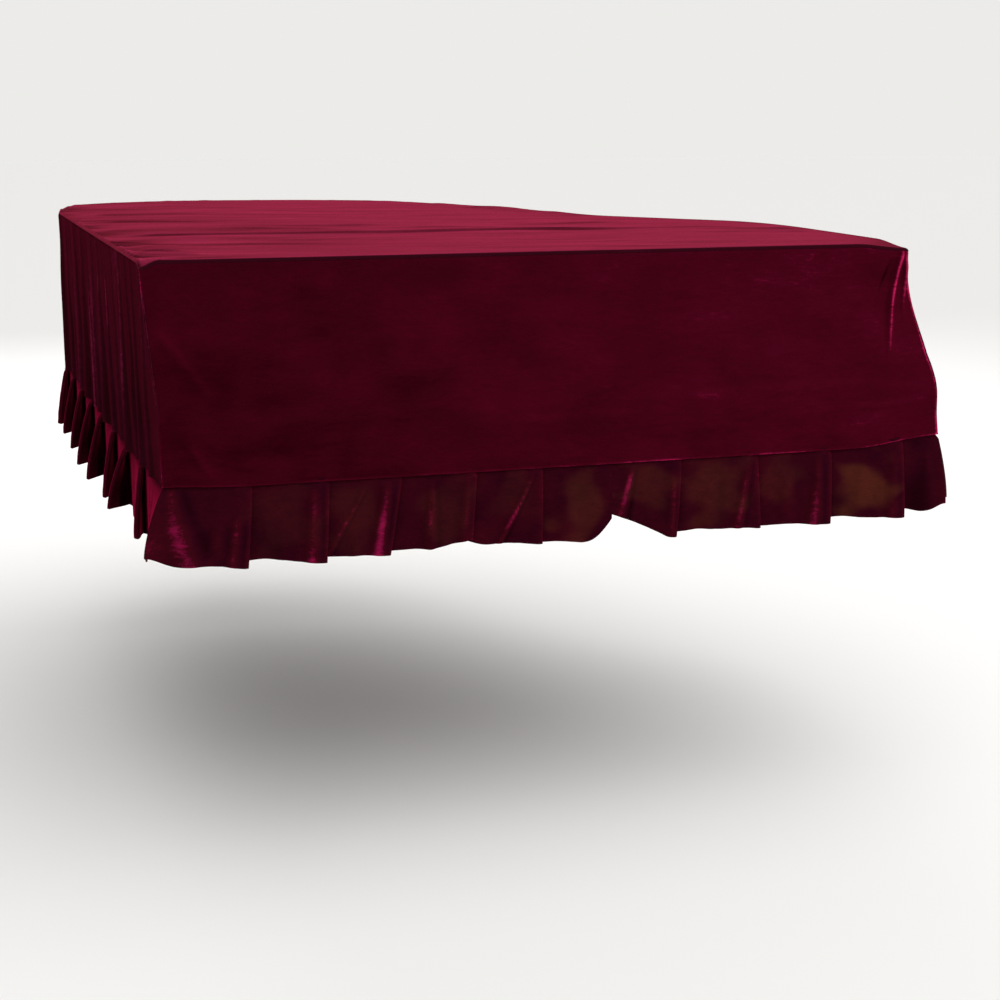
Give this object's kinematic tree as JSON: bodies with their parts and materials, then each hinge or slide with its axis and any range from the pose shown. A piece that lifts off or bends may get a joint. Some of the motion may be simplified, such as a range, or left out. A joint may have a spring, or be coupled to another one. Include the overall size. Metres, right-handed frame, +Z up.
{
  "type": "grand piano cover",
  "caption": "Fitted wine velvet cover that hangs over a closed grand piano: flat top, skirt all round and a knife-pleated ruffle at its foot.",
  "frame": {"origin": "on the underside of the top panel, 0.72 m behind the lid's front edge and midway across it, where the piano's lid holds the cover up", "axes": "+X to the treble side, +Y from the keyboard end to the tail, +Z up"},
  "size_m": [1.5713, 1.8683, 0.519],
  "materials": {
    "top": "brushed pile velvet, wine red, lighter where it is seen at a low angle",
    "skirt": "brushed pile velvet, wine red, near black face on with a magenta sheen",
    "ruffle": "brushed pile velvet, wine red, thinner and browner where light comes through"
  },
  "bodies": {
    "root": {"top_panel": "top", "front_panel": "skirt", "bass_panel": "skirt", "tail_panel": "skirt", "bentside_panel": "skirt", "front_ruffle_bass": "ruffle", "front_ruffle_treble": "ruffle", "bass_ruffle": "ruffle", "tail_ruffle": "ruffle", "bentside_ruffle": "ruffle"}
  },
  "joints": []
}
